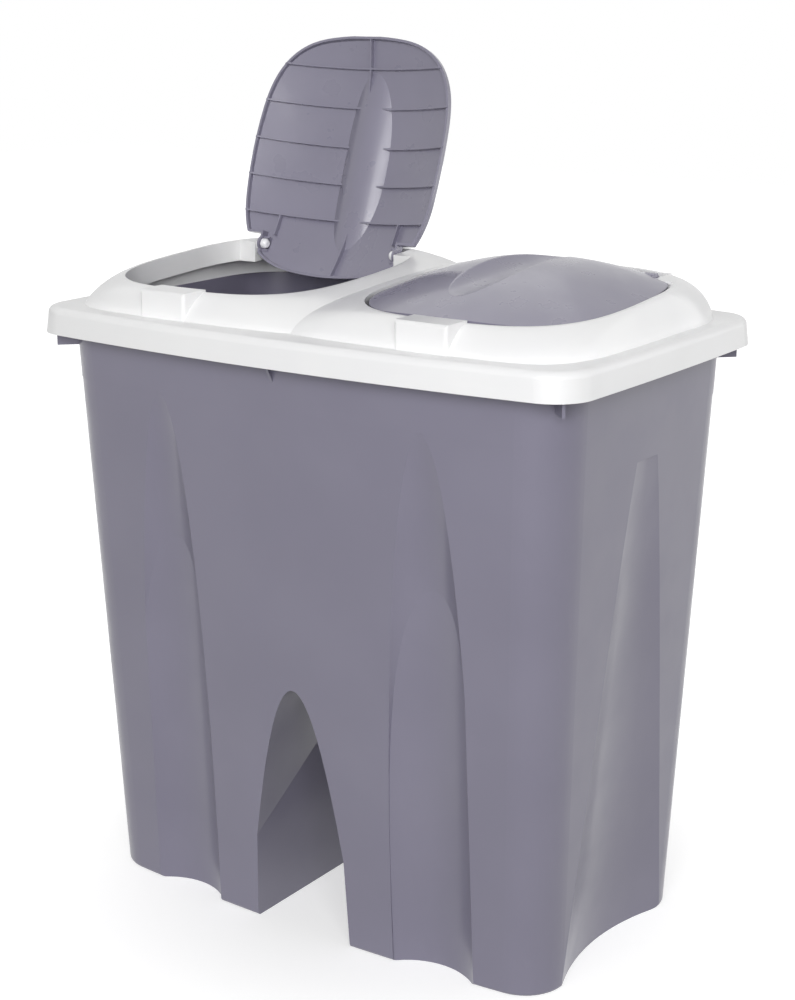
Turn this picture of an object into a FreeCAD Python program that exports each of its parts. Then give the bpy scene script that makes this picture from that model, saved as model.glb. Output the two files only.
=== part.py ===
import FreeCAD, Part
import math
import os

from FreeCAD import Vector

# Double recycling bin: a two-legged tub, a white cover with two oval openings,
# two hinged flaps and four hinge pins. Millimetres; +X along the long side,
# -Y the front, +Z up; origin on the floor at the middle of the tub.
# The left flap stands open, as the bin is shown, and the right flap is closed.

# ---- tub: walls -------------------------------------------------------------
base_half_x = 230.6        # outside, on the floor
base_half_y = 131.8        # in the middle of the long sides, here and below
collar_z = 462.0           # crease where the upper band starts
collar_half_x = 247.4      # outside, just below the crease
collar_half_y = 153.5
band_step = 0.3            # the band stands proud of the wall below it
rim_half_x = 249.6         # outside, at the rim
rim_half_y = 156.2
rim_z = 522.0              # top of the rim flange
tub_wall = 2.5
floor_wall = 3.0
base_corner_r = 38.0
rim_corner_r = 42.0
face_bow = 9.3             # how far the long sides bow out between the corners
foot_fillet = 4.0

# ---- tub: arch tunnel between the legs --------------------------------------
arch_half_gap = 49.8       # on the floor
arch_leg_lean = 3.3        # how far each leg leans in up to the mouth's crease
arch_mouth_crease_z = 75.0
arch_mouth_top_z = 225.0
arch_middle_crease_z = 150.0
arch_middle_top_z = 229.0
arch_mouth_y = 142.0       # depth at which the mouth's heights are given
arch_middle_half_y = 35.0  # level stretch in the middle of the tunnel
partition_wall = 2.5
partition_below_rim = 22.0

# ---- tub: flutes ------------------------------------------------------------
face_flute_x = 133.0       # centre of each front and back flute
face_flute_top_z = 461.0
face_flute_entry_r = 40.0
face_flute_entry_slope = 0.098
face_flute_r = 55.0
face_flute_depth_floor = 17.5
face_flute_depth_top = 10.5
end_flute_top_z = 430.0    # blunt upper end
end_flute_floor_r = 215.0
end_flute_top_r = 96.0
end_flute_depth_floor = 17.4
end_flute_depth_top = 1.5

# ---- tub: flange and gussets ------------------------------------------------
flange_wall = 2.6
flange_lip_depth = 12.0
flange_clear = 1.3         # flange edge to the inside of the cover's skirt
gusset_wall = 2.5
corner_gusset_z = 489.5    # lower edge of the corner gussets
middle_gusset_x = -7.0
middle_gusset_z = 485.5    # lower tip of the front and back gussets
gusset_clear = 0.6         # corner gusset to the inside of the cover's skirt

# ---- cover: frame -----------------------------------------------------------
cover_half_x = 265.0       # at the corners, lower edge of the skirt
cover_half_y = 158.0
cover_bow_x = 3.0          # how far the short sides bow out
cover_bow_y = 16.0         # how far the long sides bow out
cover_corner_r = 34.0
cover_skirt_z = 502.0
cover_ledge_z = 524.5
cover_wall = 2.5
cover_draft = 2.0          # the skirt flares out towards its lower edge
cover_edge_fillet = 6.0

# ---- cover: rings round the openings ----------------------------------------
flap_x = 128.0             # centre of each flap and opening
hinge_y = 82.0
hinge_z = 556.5
closed_tilt = 4.0          # degrees, the closed flap falls towards the front
open_lean = 19.5           # degrees past upright
crest_above_rim = 6.4      # the ring's crest above the closed flap's rim edge
crest_band = 3.0           # narrow flat top of the ring
ring_gap = 3.0             # flap rim to the opening's wall
opening_wall_depth = 19.0
ring_base_half_y = 146.0
ring_base_outer_x = 250.5
ring_base_inner_x = -38.0  # where one ring's slope would end past the middle
ring_base_z = 514.0
finger_block_half = 24.0
finger_block_front_y = -146.5
finger_block_proud = 1.8
seat_half = 20.0
seat_depth = 7.0
swing_room = 20.0          # square part of the opening behind the hinge axis

# ---- flap -------------------------------------------------------------------
flap_half_width = 105.4
flap_front = 197.5         # hinge axis to the front tip
flap_tail = 26.0           # hinge axis to the end of the tail
flap_oval_power = 3.1
flap_wall = 2.2
flap_rim = 5.0             # height of the rim wall
rim_drop = 3.7             # rim edge below the hinge axis, flap closed
dome_height = 29.5         # rim edge to the crest, outside
dome_crest_v = 80.0        # crest's distance from the hinge axis
dome_front_height = 8.0
dome_tail_height = 7.0
tail_half = 77.6           # half width of the tail between the hinge walls
shoulder_v = 9.5           # where the full width starts, from the hinge axis
rib_wall = 1.6
rib_height = 4.5
cross_rib_v = (30.0, 65.0, 100.0, 136.0, 171.0)
side_rib_u = 67.0
scoop_offset = 8.5         # from the flap's middle towards the middle of the bin
scoop_r = 33.0             # round groove across the dome, along the flap
scoop_depth = 12.0         # at the dome's crest
scoop_edge_round = 2.5
front_rib_u = 3.0
tail_rib_u = 9.5
relief_half = 15.0         # relief in the front of the rim edge
relief_depth = 1.5

# ---- hinge ------------------------------------------------------------------
pin_r = 2.6
pin_running_clear = 0.08
pin_seat_clear = 0.03
pin_length = 13.0          # shank, from under the head
pin_head_r = 4.8
pin_head_length = 5.6
pin_head_round = 3.4
pin_head_clear = 0.35
hinge_side_gap = 1.2       # flap's hinge wall to the cover's hinge wall
boss_r = 6.2
boss_clear = 0.4           # boss face to the flap's lug
boss_floor = 1.6           # wall behind the blind end of the pin's seat
lug_r = 6.8

# ---- derived ----------------------------------------------------------------
crest_slope = math.tan(math.radians(closed_tilt))
crest_at_hinge = hinge_z - rim_drop + crest_above_rim
opening_half_width = flap_half_width + ring_gap
flap_centre_v = (flap_front - flap_tail) / 2
flap_half_length = (flap_front + flap_tail) / 2
opening_centre_y = hinge_y - flap_centre_v
hinge_wall_u = tail_half + hinge_side_gap
pin_head_u = tail_half - flap_wall - pin_head_clear
pin_end_u = pin_head_u + pin_length
knuckle_u = pin_head_u - pin_head_length - pin_head_clear
knuckle_length = tail_half - knuckle_u
flange_inset = cover_draft + cover_wall + flange_clear


def crest_z(y):
    """Height of the ring's crest plane at depth y."""
    return crest_at_hinge + (y - hinge_y) * crest_slope


# ---- helpers ----------------------------------------------------------------
def box(x0, x1, y0, y1, z0, z1):
    """Axis-aligned block between two corners."""
    return Part.makeBox(x1 - x0, y1 - y0, z1 - z0, Vector(x0, y0, z0))


def bowed_rectangle(half_x, half_y, radius, bow, z):
    """Closed wire: long sides bowed out to half_y, straight short sides, four corner arcs."""
    span = half_x - radius
    side_r = (span * span + bow * bow) / (2 * bow)
    side_y = half_y - side_r
    corner_y = side_y + math.sqrt((side_r - radius) ** 2 - span * span)
    turn = math.atan2(corner_y - side_y, span)

    def on_corner(angle):
        return span + radius * math.cos(angle), corner_y + radius * math.sin(angle)

    tangent, middle, end = on_corner(turn), on_corner(turn / 2), on_corner(0.0)

    def at(point, sx, sy):
        return Vector(sx * point[0], sy * point[1], z)

    edges = []
    for sx, sy in ((1, -1), (-1, 1)):
        bowed = Part.Arc(at(tangent, -sx, sy), Vector(0, sy * half_y, z), at(tangent, sx, sy))
        first = Part.Arc(at(tangent, sx, sy), at(middle, sx, sy), at(end, sx, sy))
        second = Part.Arc(at(end, sx, -sy), at(middle, sx, -sy), at(tangent, sx, -sy))
        edges += [bowed.toShape(), first.toShape()]
        edges.append(Part.makeLine(at(end, sx, sy), at(end, sx, -sy)))
        edges.append(second.toShape())
    return Part.Wire(edges)


def oval_wire(cx, cy, half_x, half_y, power, height, count=20):
    """Closed smooth superellipse; height(y) gives the level of each point."""
    points = []
    for i in range(count):
        t = 2 * math.pi * (i + 0.5) / count
        c, s = math.cos(t), math.sin(t)
        x = cx + half_x * math.copysign(abs(c) ** (2 / power), c)
        y = cy + half_y * math.copysign(abs(s) ** (2 / power), s)
        points.append(Vector(x, y, height(y)))
    curve = Part.BSplineCurve()
    curve.interpolate(Points=points, PeriodicFlag=True)
    return Part.Wire(curve.toShape())


def mirrored_x(shape):
    return shape.mirror(Vector(0, 0, 0), Vector(1, 0, 0))


def mirrored_y(shape):
    return shape.mirror(Vector(0, 0, 0), Vector(0, 1, 0))


# ---- tub --------------------------------------------------------------------
def tub_form(inset, bottom, top):
    """Tapered wall and upper band, with every face moved in by inset."""
    def at(z):
        t = z / collar_z
        x = base_half_x + (collar_half_x - base_half_x) * t - inset
        y = base_half_y + (collar_half_y - base_half_y) * t - inset
        r = base_corner_r + (rim_corner_r - base_corner_r) * t - inset
        return bowed_rectangle(x, y, r, face_bow, z)

    lower = Part.makeLoft([at(bottom), at(collar_z)], True, True)
    band_x = collar_half_x + band_step - inset
    band_y = collar_half_y + band_step - inset
    band_r = rim_corner_r - inset
    band_low = bowed_rectangle(band_x, band_y, band_r, face_bow, collar_z)
    band_high = bowed_rectangle(rim_half_x - inset, rim_half_y - inset, band_r, face_bow, top)
    return lower, Part.makeLoft([band_low, band_high], True, True)


def arch_profile(y, grow):
    """Mouth of the tunnel: leaning legs up to the crease, a parabola above it."""
    depth = (arch_mouth_y - abs(y)) / (arch_mouth_y - arch_middle_half_y)
    crease = arch_mouth_crease_z + (arch_middle_crease_z - arch_mouth_crease_z) * depth
    top = arch_mouth_top_z + (arch_middle_top_z - arch_mouth_top_z) * depth + grow
    lean = arch_leg_lean / arch_mouth_crease_z
    crease_x = arch_half_gap + grow - lean * crease
    below = -10.0
    foot_x = arch_half_gap + grow - lean * below
    vault = Part.BezierCurve()
    vault.setPoles([
        Vector(-crease_x, y, crease), Vector(0, y, 2 * top - crease), Vector(crease_x, y, crease)])
    left_foot = Vector(-foot_x, y, below)
    right_foot = Vector(foot_x, y, below)
    edges = [
        Part.makeLine(left_foot, vault.StartPoint),
        vault.toShape(),
        Part.makeLine(vault.EndPoint, right_foot),
        Part.makeLine(right_foot, left_foot),
    ]
    return Part.Wire(edges)


def arch_tunnel(grow):
    """The space between the legs, front to back, grown by a wall."""
    reach = collar_half_y + 12
    stations = [-reach, -arch_middle_half_y, arch_middle_half_y, reach]
    return Part.makeLoft([arch_profile(y, grow) for y in stations], True, True)


def leaning_cylinder(radius, grow, inner_low, inner_high, low, high, position):
    """Cylinder whose innermost line runs between two depths; +Y points out of the wall."""
    reach = 60.0
    slope = (inner_high - inner_low) / (high - low)
    direction = Vector(0, slope, 1)
    direction.normalize()
    outward = Vector(0, direction.z, -direction.y)
    foot = Vector(position, inner_low, low) + outward * radius - direction * reach
    length = (high - low) * math.sqrt(1 + slope * slope) + 2 * reach
    return Part.makeCylinder(radius + grow, length, foot, direction)


def face_flute(position, grow):
    """Flute in the back wall: a groove along the wall, entered by a steeper one above."""
    wall_slope = (collar_half_y - base_half_y) / collar_z
    fall = face_bow * (face_flute_x / (collar_half_x - rim_corner_r)) ** 2

    def wall_y(z):
        return base_half_y - fall + wall_slope * z

    groove = leaning_cylinder(
        face_flute_r, grow,
        wall_y(0) - face_flute_depth_floor, wall_y(collar_z) - face_flute_depth_top,
        0.0, collar_z, position)
    entry = leaning_cylinder(
        face_flute_entry_r, grow,
        wall_y(0) - face_flute_top_z * face_flute_entry_slope, wall_y(face_flute_top_z),
        0.0, face_flute_top_z, position)
    return groove.common(entry)


def end_flute(grow):
    """Wide shallow cone in the short side at +X, narrowing upwards to a blunt end."""
    def innermost(z):
        wall_x = base_half_x + (collar_half_x - base_half_x) * z / collar_z
        depth = end_flute_depth_floor + (end_flute_depth_top - end_flute_depth_floor) * z / end_flute_top_z
        return Vector(wall_x - depth, 0, z)

    def radius(z):
        return end_flute_floor_r + (end_flute_top_r - end_flute_floor_r) * z / end_flute_top_z

    low = -10.0
    high = end_flute_top_z + grow
    along = innermost(high) - innermost(low)
    length = along.Length
    along.normalize()
    outward = Vector(along.z, 0, -along.x)
    taper = math.asin((radius(low) - radius(high)) / length)
    axis = along * math.cos(taper) - outward * math.sin(taper)
    to_axis = outward * math.cos(taper) + along * math.sin(taper)
    start = innermost(low) + to_axis * radius(low)
    return Part.makeCone(radius(low) + grow, radius(high) + grow, length * math.cos(taper), start, axis)


def all_flutes(grow):
    back = [face_flute(face_flute_x, grow), face_flute(-face_flute_x, grow)]
    side = end_flute(grow)
    return back + [mirrored_y(f) for f in back] + [side, mirrored_x(side)]


def flange():
    """Rim flange with a turned-down lip, inside the cover's skirt."""
    block = cover_outline_block(flange_inset, rim_z - flange_lip_depth, rim_z)
    top = [e for e in block.Edges if e.BoundBox.ZMin > rim_z - 0.01]
    block = block.makeFillet(cover_edge_fillet - cover_wall, top)
    hollow = cover_outline_block(
        flange_inset + flange_wall, rim_z - flange_lip_depth - 1, rim_z - flange_wall)
    return block.cut(hollow)


def gussets():
    """Webs under the flange: one across each corner, one in the middle of each long side."""
    top = rim_z - flange_wall / 2
    inset = cover_draft + cover_wall + gusset_clear
    corner_x = cover_half_x - inset - cover_corner_r
    corner_y = cover_half_y - inset - cover_corner_r
    half = gusset_wall / 2
    web = box(-30, cover_corner_r + 2, -half, half, corner_gusset_z, top)
    web.rotate(Vector(0, 0, 0), Vector(0, 0, 1), 45)
    web.translate(Vector(corner_x, corner_y, 0))
    lower = web.common(cover_outline_block(inset, corner_gusset_z, rim_z - flange_lip_depth))
    upper = web.common(cover_outline_block(flange_inset, rim_z - flange_lip_depth, top))
    outer_y = cover_half_y + cover_bow_y - flange_inset
    wall_y = rim_half_y - tub_wall
    triangle = Part.makePolygon([
        Vector(middle_gusset_x - half, wall_y, middle_gusset_z),
        Vector(middle_gusset_x - half, wall_y, top),
        Vector(middle_gusset_x - half, outer_y, top),
        Vector(middle_gusset_x - half, outer_y, rim_z - flange_lip_depth),
        Vector(middle_gusset_x - half, wall_y, middle_gusset_z),
    ])
    middle = Part.Face(triangle).extrude(Vector(gusset_wall, 0, 0))
    webs = [lower, upper, middle]
    webs += [mirrored_y(web) for web in webs]
    corners = [lower, upper, mirrored_y(lower), mirrored_y(upper)]
    return webs + [mirrored_x(web) for web in corners]


def make_tub():
    lower, band = tub_form(0.0, 0.0, rim_z)
    foot_edges = [e for e in lower.Edges if e.BoundBox.ZMax < 0.01]
    outer = lower.makeFillet(foot_fillet, foot_edges).fuse(band)
    outer = outer.fuse([flange()] + gussets())
    tunnel = arch_tunnel(0.0)
    flutes = all_flutes(0.0)
    outer = outer.cut([tunnel] + flutes)

    lower_in, band_in = tub_form(tub_wall, floor_wall, rim_z + 10)
    inside = lower_in.fuse(band_in)
    partition = box(-partition_wall / 2, partition_wall / 2, -200, 200, 0, rim_z - partition_below_rim)
    walls = [arch_tunnel(tub_wall), partition] + all_flutes(tub_wall)
    inside = inside.cut(walls)
    return outer.cut(inside)


# ---- cover ------------------------------------------------------------------
def cover_wire(inset, z):
    """Four bowed sides between the sharp corners."""
    x = cover_half_x - inset
    y = cover_half_y - inset
    bow_x = x + cover_bow_x
    bow_y = y + cover_bow_y
    a, b, c, d = Vector(-x, -y, z), Vector(x, -y, z), Vector(x, y, z), Vector(-x, y, z)
    sides = [
        Part.Arc(a, Vector(0, -bow_y, z), b).toShape(),
        Part.Arc(b, Vector(bow_x, 0, z), c).toShape(),
        Part.Arc(c, Vector(0, bow_y, z), d).toShape(),
        Part.Arc(d, Vector(-bow_x, 0, z), a).toShape(),
    ]
    return Part.Wire(sides)


def cover_outline_block(inset, low, high, inset_high=None):
    """Solid with the cover's bowed outline and rounded corners."""
    top = inset if inset_high is None else inset_high
    form = Part.makeLoft([cover_wire(inset, low), cover_wire(top, high)], True, True)
    upright = [e for e in form.Edges if e.BoundBox.ZLength > (high - low) * 0.9
               and e.BoundBox.XLength < 10 and e.BoundBox.YLength < 10]
    return form.makeFillet(cover_corner_r - inset, upright)


def cover_slab(inset):
    """Skirt and ledge as a block, with its upper edge rounded."""
    low = cover_skirt_z - (1 if inset else 0)
    block = cover_outline_block(inset, low, cover_ledge_z - inset, inset + cover_draft)
    top = [e for e in block.Edges if e.BoundBox.ZMin > cover_ledge_z - inset - 0.01]
    return block.makeFillet(cover_edge_fillet - inset, top)


def ring_form(inset):
    """Raised ring, right opening: convex slope from a squarish foot to the oval crest."""
    foot_cx = (ring_base_outer_x + ring_base_inner_x) / 2
    foot_a = (ring_base_outer_x - ring_base_inner_x) / 2 - inset
    foot_b = ring_base_half_y - inset
    crest_a = opening_half_width + crest_band - inset
    crest_b = flap_half_length + ring_gap + crest_band - inset
    sections = []
    for across, up in ((0.0, 0.0), (0.03, 0.32), (0.28, 0.63), (0.62, 0.86), (1.0, 1.0)):
        def level(y, up=up):
            return ring_base_z + (crest_z(y) - inset - ring_base_z) * up
        sections.append(oval_wire(
            foot_cx + (flap_x - foot_cx) * across,
            opening_centre_y * across,
            foot_a + (crest_a - foot_a) * across,
            foot_b + (crest_b - foot_b) * across,
            5.5 + (flap_oval_power - 5.5) * across,
            level))
    return Part.makeLoft(sections, True, False)


def flap_outline(margin, shoulder_margin, low, high):
    """Prism over the flap's outline in flap coordinates, grown by a margin."""
    wire = oval_wire(
        0.0, -flap_centre_v, flap_half_width + margin, flap_half_length + margin,
        flap_oval_power, lambda y: low)
    prism = Part.Face(wire).extrude(Vector(0, 0, high - low))
    side = tail_half + shoulder_margin
    front = -shoulder_v + shoulder_margin
    notch = box(side, 200, front, 200, low - 1, high + 1)
    return prism.cut([notch, mirrored_x(notch)])


def opening_prism(margin):
    """Upright prism of the right opening, with its side walls moved out by a margin."""
    low, high = 450.0, 620.0
    prism = flap_outline(ring_gap + margin, hinge_side_gap + margin, low, high)
    side = tail_half + hinge_side_gap + margin
    prism = prism.fuse(box(-side, side, -shoulder_v, swing_room + margin, low, high))
    prism.translate(Vector(flap_x, hinge_y, 0))
    return prism


def crest_block(drop, depth):
    """Everything below the crest plane lowered by drop, down to depth below it."""
    x0, x1, y0, y1 = -20.0, 270.0, -170.0, 170.0
    high = [Vector(x0, y, crest_z(y) - drop) for y in (y0, y1)]
    low = [Vector(x0, y, crest_z(y) - depth) for y in (y1, y0)]
    face = Part.Face(Part.makePolygon([high[0], high[1], low[0], low[1], high[0]]))
    return face.extrude(Vector(x1 - x0, 0, 0))


def finger_block():
    """Block in front of the opening, its top a little above the crest."""
    back_y = hinge_y - flap_front + 6
    top = crest_z(hinge_y - flap_front) + finger_block_proud
    block = box(
        flap_x - finger_block_half, flap_x + finger_block_half,
        finger_block_front_y, back_y, cover_ledge_z - 8, top)
    front = [e for e in block.Edges
             if abs(e.BoundBox.ZMin - top) < 0.01 and e.BoundBox.YMax < finger_block_front_y + 0.01]
    upright = [e for e in block.Edges
               if e.BoundBox.ZLength > 10 and e.BoundBox.YMax < finger_block_front_y + 0.01]
    return block.makeFillet(3.0, front + upright)


def finger_block_inside():
    """The block's hollow underside."""
    back_y = hinge_y - flap_front - ring_gap - cover_wall
    top = crest_z(hinge_y - flap_front) + finger_block_proud
    return box(
        flap_x - finger_block_half + cover_wall, flap_x + finger_block_half - cover_wall,
        finger_block_front_y + cover_wall, back_y, cover_ledge_z - 20, top - cover_wall)


def seat():
    """Small shelf inside the front of the opening that the closed flap rests on."""
    front_y = hinge_y - flap_front - ring_gap - cover_wall / 2
    low_z = crest_z(hinge_y - flap_front) - opening_wall_depth
    top = hinge_z - rim_drop - flap_front * math.sin(math.radians(closed_tilt)) - 0.4
    return box(flap_x - seat_half, flap_x + seat_half, front_y, front_y + seat_depth, low_z + 4, top)


def hinge_bosses(radius, inner_u, outer_u):
    """Cylinders along the hinge axis on both sides of the right opening."""
    found = []
    for side in (-1, 1):
        start = Vector(flap_x + side * inner_u, hinge_y, hinge_z)
        found.append(Part.makeCylinder(radius, outer_u - inner_u, start, Vector(side, 0, 0)))
    return found


def make_cover():
    rings = ring_form(0.0)
    hollow = ring_form(cover_wall)
    outer = cover_slab(0.0).fuse([rings, mirrored_x(rings), finger_block(), mirrored_x(finger_block())])
    inner = cover_slab(cover_wall).fuse([hollow, mirrored_x(hollow)])
    blocks_inside = finger_block_inside()
    shell = outer.cut([inner, blocks_inside, mirrored_x(blocks_inside)])

    opening = opening_prism(0.0)
    tube = opening_prism(cover_wall).common(crest_block(0.2, opening_wall_depth))
    bosses = hinge_bosses(boss_r, hinge_wall_u - 1, pin_end_u + boss_floor)
    bosses = [b.common(crest_block(0.2, 40)) for b in bosses]
    added = [tube] + bosses
    shell = shell.fuse(added + [mirrored_x(s) for s in added])
    shell = shell.cut([opening, mirrored_x(opening)])

    noses = hinge_bosses(boss_r, tail_half + boss_clear, hinge_wall_u + 1)
    noses = [n.common(crest_block(0.2, 40)) for n in noses]
    noses.append(seat())
    shell = shell.fuse(noses + [mirrored_x(s) for s in noses])
    bores = hinge_bosses(pin_r + pin_seat_clear, tail_half - 2, pin_end_u + pin_seat_clear)
    return shell.cut(bores + [mirrored_x(s) for s in bores])


# ---- flap -------------------------------------------------------------------
def dome_level(v):
    """Height of the dome above the rim edge along the middle, v from the hinge."""
    end = flap_front if v > dome_crest_v else -flap_tail
    end_height = dome_front_height if v > dome_crest_v else dome_tail_height
    span = abs(end - dome_crest_v)
    sag = dome_height - end_height
    radius = (span * span + sag * sag) / (2 * sag)
    reach = min(abs(v - dome_crest_v), radius)
    return dome_height - (radius - math.sqrt(radius * radius - reach * reach))


def oval_half_width(v):
    """Half width of the flap's oval at v."""
    t = min(abs(v - flap_centre_v) / flap_half_length, 0.94)
    return flap_half_width * (1 - t ** flap_oval_power) ** (1 / flap_oval_power)


def dome_block(drop):
    """Everything under the dome's surface, lowered by drop."""
    sections = []
    half = flap_half_width + 15
    for v in (-45.0, -20.0, 10.0, 45.0, 80.0, 120.0, 155.0, 185.0, 215.0):
        height = dome_level(v)
        width = oval_half_width(v)
        sag = max(height - flap_rim, 1.2)
        radius = (width * width + sag * sag) / (2 * sag)
        edge = height - (radius - math.sqrt(radius * radius - half * half))
        floor = -40.0
        arc = Part.Arc(
            Vector(-half, -v, edge - drop), Vector(0, -v, height - drop), Vector(half, -v, edge - drop))
        sections.append(Part.Wire([
            arc.toShape(),
            Part.makeLine(Vector(half, -v, edge - drop), Vector(half, -v, floor)),
            Part.makeLine(Vector(half, -v, floor), Vector(-half, -v, floor)),
            Part.makeLine(Vector(-half, -v, floor), Vector(-half, -v, edge - drop)),
        ]))
    return Part.makeLoft(sections, True, False)


def scoop(grow):
    """Round groove along the flap, cut across the crest of the dome for the fingers."""
    start = Vector(scoop_offset, flap_tail + 10, dome_height - scoop_depth + scoop_r)
    length = flap_tail + flap_front + 20
    return Part.makeCylinder(scoop_r + grow, length, start, Vector(0, -1, 0))


def scoop_edges(shape):
    """Edges where the groove meets the dome."""
    grooves = [f for f in shape.Faces
               if isinstance(f.Surface, Part.Cylinder) and abs(f.Surface.Radius - scoop_r) < 0.01]
    return [e for f in grooves for e in f.Edges]


def rib_slabs():
    """Upright slabs where the ribs stand: across, beyond both ends of the groove and beside the hinge."""
    half = rib_wall / 2
    wide = flap_half_width + 10
    slabs = [box(-wide, wide, -v - half, -v + half, -20, 60) for v in cross_rib_v]
    slabs.append(box(front_rib_u - half, front_rib_u + half, -flap_front - 5, -dome_crest_v, -20, 60))
    slabs.append(box(tail_rib_u - half, tail_rib_u + half, -dome_crest_v, flap_tail + 5, -20, 60))
    for side in (-1, 1):
        u = side * side_rib_u
        slabs.append(box(u - half, u + half, -cross_rib_v[0], -shoulder_v, -20, 60))
    return slabs


def hinge_lugs():
    """Knuckles at both ends of the tail: a full ear outside, a half shell over the pin's head."""
    found = []
    for side in (-1, 1):
        along = Vector(side, 0, 0)
        ear = Part.makeCylinder(lug_r, flap_wall, Vector(side * (tail_half - flap_wall), 0, rim_drop), along)
        shell = Part.makeCylinder(lug_r, knuckle_length, Vector(side * knuckle_u, 0, rim_drop), along)
        below = box(-flap_half_width, flap_half_width, -lug_r - 1, lug_r + 1, -20, rim_drop)
        found += [ear, shell.cut(below)]
    return found


def pin_spaces():
    """What is cut for the pins: a running hole and a wider pocket round each head."""
    found = []
    for side in (-1, 1):
        along = Vector(side, 0, 0)
        hole_start = Vector(side * knuckle_u, 0, rim_drop)
        pocket_length = tail_half - flap_wall - knuckle_u
        found.append(Part.makeCylinder(pin_r + pin_running_clear, tail_half, hole_start, along))
        found.append(Part.makeCylinder(pin_head_r + pin_head_clear, pocket_length, hole_start, along))
    return found


def front_relief():
    """Shallow arched relief in the front of the rim edge, above the finger block."""
    radius = (relief_half ** 2 + relief_depth ** 2) / (2 * relief_depth)
    start = Vector(0, -flap_front + 15, relief_depth - radius)
    return Part.makeCylinder(radius, 30, start, Vector(0, -1, 0))


def make_flap():
    """Left flap: rim edge at level 0, hinge axis along X above it, front along -Y."""
    outside = flap_outline(0.0, 0.0, 0.0, 60.0).common(dome_block(0.0)).cut(scoop(0.0))
    outside = outside.makeFillet(scoop_edge_round, scoop_edges(outside))
    room = flap_outline(-flap_wall, -flap_wall, -1.0, 60.0).common(dome_block(flap_wall))
    room = room.cut(scoop(flap_wall))
    shell = outside.cut([room, front_relief()])
    bury = 0.4
    within = flap_outline(-bury, -bury, -1.0, 60.0).common(dome_block(bury))
    within = within.cut([dome_block(flap_wall + rib_height), scoop(bury)])
    ribs = [slab.common(within) for slab in rib_slabs()]
    shell = shell.fuse(ribs + hinge_lugs())
    return shell.cut(pin_spaces())


def placed_flap(flap, side, angle):
    """The flap hung on its hinge axis and swung up by angle."""
    placed = flap.copy()
    placed.translate(Vector(0, 0, -rim_drop))
    placed.rotate(Vector(0, 0, 0), Vector(1, 0, 0), -angle)
    placed.translate(Vector(side * flap_x, hinge_y, hinge_z))
    return placed


def make_pin(side, end):
    """Headed hinge pin; its head lies inside the flap's hinge wall."""
    along = Vector(end, 0, 0)
    head = Part.makeCylinder(pin_head_r, pin_head_length, along * pin_head_u, -along)
    tip_u = pin_head_u - pin_head_length
    tip = [e for e in head.Edges if e.BoundBox.XLength < 0.01 and abs(e.BoundBox.XMin - end * tip_u) < 0.1]
    head = head.makeFillet(pin_head_round, tip)
    shank = Part.makeCylinder(pin_r, pin_length + 1, along * (pin_head_u - 1), along)
    pin = head.fuse(shank)
    pin.translate(Vector(side * flap_x, hinge_y, hinge_z))
    return pin


# ---- build ------------------------------------------------------------------
def main():
    os.makedirs("parts", exist_ok=True)
    flap = make_flap()
    nodes = {
        "tub": make_tub(),
        "cover": make_cover(),
        "left_flap": placed_flap(flap, -1, 90 + open_lean),
        "right_flap": placed_flap(mirrored_x(flap), 1, -closed_tilt),
    }
    for side, name in ((-1, "left_flap"), (1, "right_flap")):
        nodes[name + "_pin_left"] = make_pin(side, -1)
        nodes[name + "_pin_right"] = make_pin(side, 1)
    for name, shape in nodes.items():
        shape.exportStep("parts/" + name + ".step")
        print(name, "solids", len(shape.Solids), "faces", len(shape.Faces),
              "volume", round(shape.Volume), "valid", shape.isValid())


main()
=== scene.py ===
from collections import namedtuple

import bpy
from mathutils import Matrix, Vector

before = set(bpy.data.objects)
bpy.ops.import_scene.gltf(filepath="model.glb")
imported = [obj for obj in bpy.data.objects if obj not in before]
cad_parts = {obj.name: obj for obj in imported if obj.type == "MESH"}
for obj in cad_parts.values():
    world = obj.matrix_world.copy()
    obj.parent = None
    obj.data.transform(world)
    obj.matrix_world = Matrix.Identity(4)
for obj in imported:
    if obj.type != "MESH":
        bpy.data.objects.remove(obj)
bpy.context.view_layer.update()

# Looks of the double recycling bin: moulded plastic finishes, a white studio and the camera.
# Metres; +X along the long side, -Y the front, +Z up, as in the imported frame.

# ---- finishes ---------------------------------------------------------------
# Colours are eight-bit display values, and each finish runs between two of them in faint clouds.
LILAC_GREY = (122, 119, 136)
LILAC_GREY_DEEP = (118, 115, 132)
FLAP_GREY = (131, 128, 145)
FLAP_GREY_DEEP = (127, 124, 141)
OFF_WHITE = (238, 238, 238)
OFF_WHITE_DEEP = (234, 234, 235)
# The pins are white plastic, but their white is lifted a touch above the cover's to make up for
# the shade they sit in: that lift is painted light.
PIN_WHITE_SHADE_LIFT = (246, 246, 248)
PIN_WHITE_SHADE_LIFT_DEEP = (238, 238, 242)

Finish = namedtuple("Finish", "name colour deep rough_low rough_high cloud_scale peel coat")
TUB_LILAC = Finish("tub_lilac", LILAC_GREY, LILAC_GREY_DEEP, 0.30, 0.40, 9.0, 0.07, 0.3)
FLAP_LILAC = Finish("flap_lilac", FLAP_GREY, FLAP_GREY_DEEP, 0.26, 0.36, 14.0, 0.05, 0.35)
COVER_WHITE = Finish("cover_white", OFF_WHITE, OFF_WHITE_DEEP, 0.28, 0.40, 9.0, 0.06, 0.3)
PIN_WHITE_FINISH = Finish("pin_white", PIN_WHITE_SHADE_LIFT, PIN_WHITE_SHADE_LIFT_DEEP, 0.20, 0.32, 60.0, 0.05, 0.6)

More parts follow.
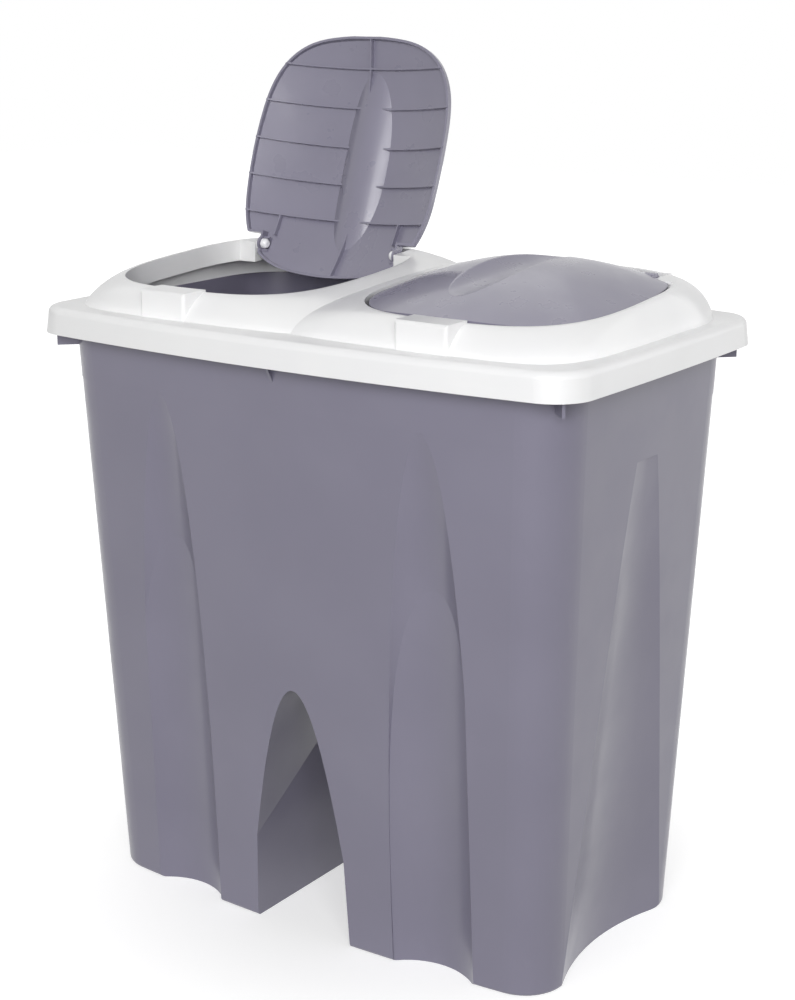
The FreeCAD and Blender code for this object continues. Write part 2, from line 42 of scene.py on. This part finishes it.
PLASTIC_IOR = 1.49
COAT_ROUGHNESS = 0.15      # the polished outermost skin
CLOUD_DETAIL = 3.0
PATCH_RATIO = 2.5          # patches of gloss are finer than the clouds of colour
PATCH_DETAIL = 4.0
PEEL_SCALE = 240.0         # orange-peel skin, cells of about 4 mm
PEEL_DETAIL = 2.0
PEEL_DEPTH = 0.0002
NOISE_ROUGHNESS = 0.5
NOISE_LOW = 0.3            # the span in which nearly all noise values lie
NOISE_HIGH = 0.7

# ---- studio -----------------------------------------------------------------
PLAIN_WHITE = (1, 1, 1, 1)
AMBIENT = 0.22             # what the white surroundings give to the object
FLOOR_HALF = 6.0
FLOOR_PALE = (0.93, 0.93, 0.93, 1)
FLOOR_NEAR = 0.12          # the floor runs out into plain white between these radii
FLOOR_FAR = 0.50
FLOOR_SHARE_NEAR = 0.25    # share of plain white inside the smaller radius
FLOOR_GLOW = 0.15          # what the plain white gives to the object
FLOOR_LIFT = 0.20          # brightness that only a direct look at the floor gets

Lamp = namedtuple("Lamp", "name at target width height watts")
LAMPS = (
    Lamp("box_camera", (1.5, -2.3, 1.5), (0.0, 0.0, 0.5), 1.8, 1.4, 56.0),
    Lamp("fill_front", (0.4, -2.6, 1.25), (0.0, 0.0, 0.5), 1.6, 1.2, 18.0),
    Lamp("box_top", (-1.1, 0.9, 2.5), (0.0, 0.0, 0.5), 2.4, 2.0, 9.0),
    Lamp("box_right", (2.5, -0.4, 1.3), (0.0, 0.0, 0.5), 1.2, 1.4, 4.0),
    Lamp("box_back", (2.1, 2.0, 1.1), (0.0, 0.0, 0.4), 2.4, 2.1, 20.0),
)

# ---- camera, in pixels of the 795 x 1000 frame ------------------------------
FRAME_WIDTH = 795
FRAME_HEIGHT = 1000
FOCAL_PX = 1881.89
CENTRE_PX = (378.32, 503.47)
SENSOR = 36.0              # mm, on the longer side of the frame
CAMERA_AT = (0.9034, -1.2957, 0.7883)
CAMERA_FORWARD = (-0.55697, 0.78716, -0.26488)
CLIP_START = 0.05
CLIP_END = 60.0


def linear(colour):
    """Scene-linear RGBA of an eight-bit display colour, by the sRGB curve."""
    values = []
    for part in colour:
        share = part / 255
        values.append(share / 12.92 if share <= 0.04045 else ((share + 0.055) / 1.055) ** 2.4)
    return (*values, 1.0)


class Nodes:
    """Short calls for adding and joining the nodes of one material or world."""

    def __init__(self, tree):
        self.tree = tree
        tree.nodes.clear()

    def add(self, kind, **settings):
        node = self.tree.nodes.new(kind)
        for name, value in settings.items():
            setattr(node, name, value)
        return node

    def join(self, output, socket):
        self.tree.links.new(output, socket)

    def finish(self, kind, surface):
        """Closes the tree with its output node."""
        self.join(surface, self.add(kind).inputs["Surface"])

    def noise(self, place, scale, detail):
        node = self.add("ShaderNodeTexNoise")
        node.inputs["Scale"].default_value = scale
        node.inputs["Detail"].default_value = detail
        node.inputs["Roughness"].default_value = NOISE_ROUGHNESS
        self.join(place, node.inputs["Vector"])
        return node.outputs["Fac"]

    def spread(self, value, low, high, from_low=NOISE_LOW, from_high=NOISE_HIGH):
        """Maps a span of values to low..high, easing in and out at its ends."""
        node = self.add("ShaderNodeMapRange", interpolation_type="SMOOTHSTEP")
        for name, number in (("From Min", from_low), ("From Max", from_high),
                             ("To Min", low), ("To Max", high)):
            node.inputs[name].default_value = number
        self.join(value, node.inputs["Value"])
        return node.outputs["Result"]

    def mix(self, factor, first, second):
        node = self.add("ShaderNodeMix", data_type="RGBA")
        self.join(factor, node.inputs["Factor"])
        node.inputs["A"].default_value = first
        node.inputs["B"].default_value = second
        return node.outputs["Result"]

    def bump(self, height, strength, distance):
        node = self.add("ShaderNodeBump")
        node.inputs["Strength"].default_value = strength
        node.inputs["Distance"].default_value = distance
        self.join(height, node.inputs["Height"])
        return node.outputs["Normal"]

    def seen_directly(self):
        """One for camera, glossy and transmission rays, nought for the rest."""
        path = self.add("ShaderNodeLightPath")
        total = path.outputs["Is Camera Ray"]
        for ray in ("Is Glossy Ray", "Is Transmission Ray"):
            larger = self.add("ShaderNodeMath", operation="MAXIMUM")
            self.join(total, larger.inputs[0])
            self.join(path.outputs[ray], larger.inputs[1])
            total = larger.outputs[0]
        return total


# ---- plastics ---------------------------------------------------------------
def moulded_plastic(finish):
    """Injection-moulded plastic: faint clouds of colour, uneven gloss and an orange-peel skin."""
    material = bpy.data.materials.new(finish.name)
    material.use_nodes = True
    nodes = Nodes(material.node_tree)
    place = nodes.add("ShaderNodeTexCoord").outputs["Object"]
    shader = nodes.add("ShaderNodeBsdfPrincipled")
    clouds = nodes.spread(nodes.noise(place, finish.cloud_scale, CLOUD_DETAIL), 0.0, 1.0)
    colour = nodes.mix(clouds, linear(finish.colour), linear(finish.deep))
    nodes.join(colour, shader.inputs["Base Color"])
    patches = nodes.noise(place, finish.cloud_scale * PATCH_RATIO, PATCH_DETAIL)
    roughness = nodes.spread(patches, finish.rough_low, finish.rough_high)
    nodes.join(roughness, shader.inputs["Roughness"])
    peel = nodes.noise(place, PEEL_SCALE, PEEL_DETAIL)
    nodes.join(nodes.bump(peel, finish.peel, PEEL_DEPTH), shader.inputs["Normal"])
    shader.inputs["IOR"].default_value = PLASTIC_IOR
    shader.inputs["Coat Weight"].default_value = finish.coat
    shader.inputs["Coat Roughness"].default_value = COAT_ROUGHNESS
    nodes.finish("ShaderNodeOutputMaterial", shader.outputs["BSDF"])
    return material


def dress(node, material):
    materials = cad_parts[node].data.materials
    materials.clear()
    materials.append(material)


def finishes():
    tub = moulded_plastic(TUB_LILAC)
    flap = moulded_plastic(FLAP_LILAC)
    cover = moulded_plastic(COVER_WHITE)
    pin = moulded_plastic(PIN_WHITE_FINISH)
    dress("tub", tub)
    dress("cover", cover)
    for side in ("left", "right"):
        dress(side + "_flap", flap)
        for end in ("left", "right"):
            dress(side + "_flap_pin_" + end, pin)


# ---- surroundings -----------------------------------------------------------
def white_world():
    """White where it is seen, a plain soft level where it only lights the object."""
    world = bpy.data.worlds.new("studio")
    bpy.context.scene.world = world
    world.use_nodes = True
    nodes = Nodes(world.node_tree)
    strength = nodes.spread(nodes.seen_directly(), AMBIENT, 1.0, 0.0, 1.0)
    background = nodes.add("ShaderNodeBackground")
    background.inputs["Color"].default_value = PLAIN_WHITE
    nodes.join(strength, background.inputs["Strength"])
    nodes.finish("ShaderNodeOutputWorld", background.outputs["Background"])


def floor_material():
    """White floor that takes the object's shadow near it and runs out into plain white."""
    material = bpy.data.materials.new("floor_white")
    material.use_nodes = True
    nodes = Nodes(material.node_tree)
    seen = nodes.seen_directly()
    place = nodes.add("ShaderNodeTexCoord").outputs["Object"]
    distance = nodes.add("ShaderNodeVectorMath", operation="LENGTH")
    nodes.join(place, distance.inputs[0])
    share = nodes.spread(distance.outputs["Value"], FLOOR_SHARE_NEAR, 1.0, FLOOR_NEAR, FLOOR_FAR)
    lit = nodes.add("ShaderNodeBsdfDiffuse")
    lit.inputs["Color"].default_value = FLOOR_PALE
    plain = nodes.add("ShaderNodeEmission")
    plain.inputs["Color"].default_value = PLAIN_WHITE
    nodes.join(nodes.spread(seen, FLOOR_GLOW, 1.0, 0.0, 1.0), plain.inputs["Strength"])
    mixed = nodes.add("ShaderNodeMixShader")
    nodes.join(share, mixed.inputs["Fac"])
    nodes.join(lit.outputs["BSDF"], mixed.inputs[1])
    nodes.join(plain.outputs["Emission"], mixed.inputs[2])
    lift = nodes.add("ShaderNodeEmission")
    nodes.join(nodes.spread(seen, 0.0, FLOOR_LIFT, 0.0, 1.0), lift.inputs["Strength"])
    total = nodes.add("ShaderNodeAddShader")
    nodes.join(mixed.outputs["Shader"], total.inputs[0])
    nodes.join(lift.outputs["Emission"], total.inputs[1])
    nodes.finish("ShaderNodeOutputMaterial", total.outputs["Shader"])
    return material


def pale_floor():
    half = FLOOR_HALF
    mesh = bpy.data.meshes.new("floor")
    corners = [(-half, -half, 0), (half, -half, 0), (half, half, 0), (-half, half, 0)]
    mesh.from_pydata(corners, [], [(0, 1, 2, 3)])
    mesh.materials.append(floor_material())
    floor = bpy.data.objects.new("floor", mesh)
    bpy.context.scene.collection.objects.link(floor)


# ---- lamps and camera -------------------------------------------------------
def aimed(obj, at, target):
    """Places an object and turns its view axis, -Z, to the target."""
    obj.location = at
    obj.rotation_mode = "QUATERNION"
    obj.rotation_quaternion = (Vector(target) - Vector(at)).to_track_quat("-Z", "Y")
    bpy.context.scene.collection.objects.link(obj)


def lamps():
    for lamp in LAMPS:
        light = bpy.data.lights.new(lamp.name, "AREA")
        light.shape = "RECTANGLE"
        light.size = lamp.width
        light.size_y = lamp.height
        light.energy = lamp.watts
        aimed(bpy.data.objects.new(lamp.name, light), lamp.at, lamp.target)


def camera():
    data = bpy.data.cameras.new("camera")
    longer = max(FRAME_WIDTH, FRAME_HEIGHT)
    data.sensor_width = SENSOR
    data.lens = FOCAL_PX / longer * SENSOR
    data.shift_x = (FRAME_WIDTH / 2 - CENTRE_PX[0]) / longer
    data.shift_y = (CENTRE_PX[1] - FRAME_HEIGHT / 2) / longer
    data.clip_start = CLIP_START
    data.clip_end = CLIP_END
    obj = bpy.data.objects.new("camera", data)
    aimed(obj, CAMERA_AT, Vector(CAMERA_AT) + Vector(CAMERA_FORWARD))
    bpy.context.scene.camera = obj


finishes()
white_world()
pale_floor()
lamps()
camera()
bpy.context.scene.view_settings.view_transform = "Standard"
